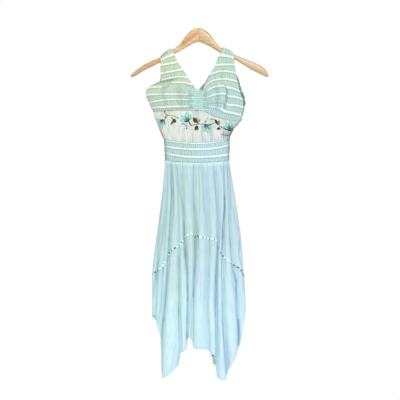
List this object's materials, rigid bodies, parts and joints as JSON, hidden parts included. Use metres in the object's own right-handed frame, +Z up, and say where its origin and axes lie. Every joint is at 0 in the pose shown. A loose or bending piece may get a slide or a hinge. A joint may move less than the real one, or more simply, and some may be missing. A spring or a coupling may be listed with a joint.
{
  "type": "halter dress on a hanger",
  "caption": "Sleeveless dress with wide straps, shirred striped bust and waist, gauze midriff and a gathered skirt with a handkerchief hem, hanging on a wooden hanger by its hook",
  "frame": {"origin": "the inner top of the hanger hook's bend, where it rests on a rail", "axes": "+Z up, +X to the right seen from the front, the front of the dress faces -Y"},
  "size_m": [0.448, 0.1176, 1.196],
  "materials": {
    "striped_cloth": "matt shirred cotton, green bands between white lines",
    "midriff_gauze": "matt off-white crinkled gauze, embroidered",
    "skirt_cloth": "matt pale aqua crinkled cotton",
    "braid": "narrow woven braid with a slight sheen",
    "wood": "clear lacquered light wood",
    "hook_steel": "bright plated wire"
  },
  "bodies": {
    "root": {"cup_left": "striped_cloth", "cup_right": "striped_cloth", "centre_gather": "striped_cloth", "back_left": "striped_cloth", "back_right": "striped_cloth", "midriff_front": "midriff_gauze", "midriff_back": "midriff_gauze", "waistband_front": "striped_cloth", "waistband_back": "striped_cloth", "skirt_front": "skirt_cloth", "skirt_back": "skirt_cloth", "flounce_front": "skirt_cloth", "flounce_back": "skirt_cloth", "trim_front": "braid", "trim_back": "braid", "hanger_bar": "wood", "hanger_hook": "hook_steel"}
  },
  "joints": []
}
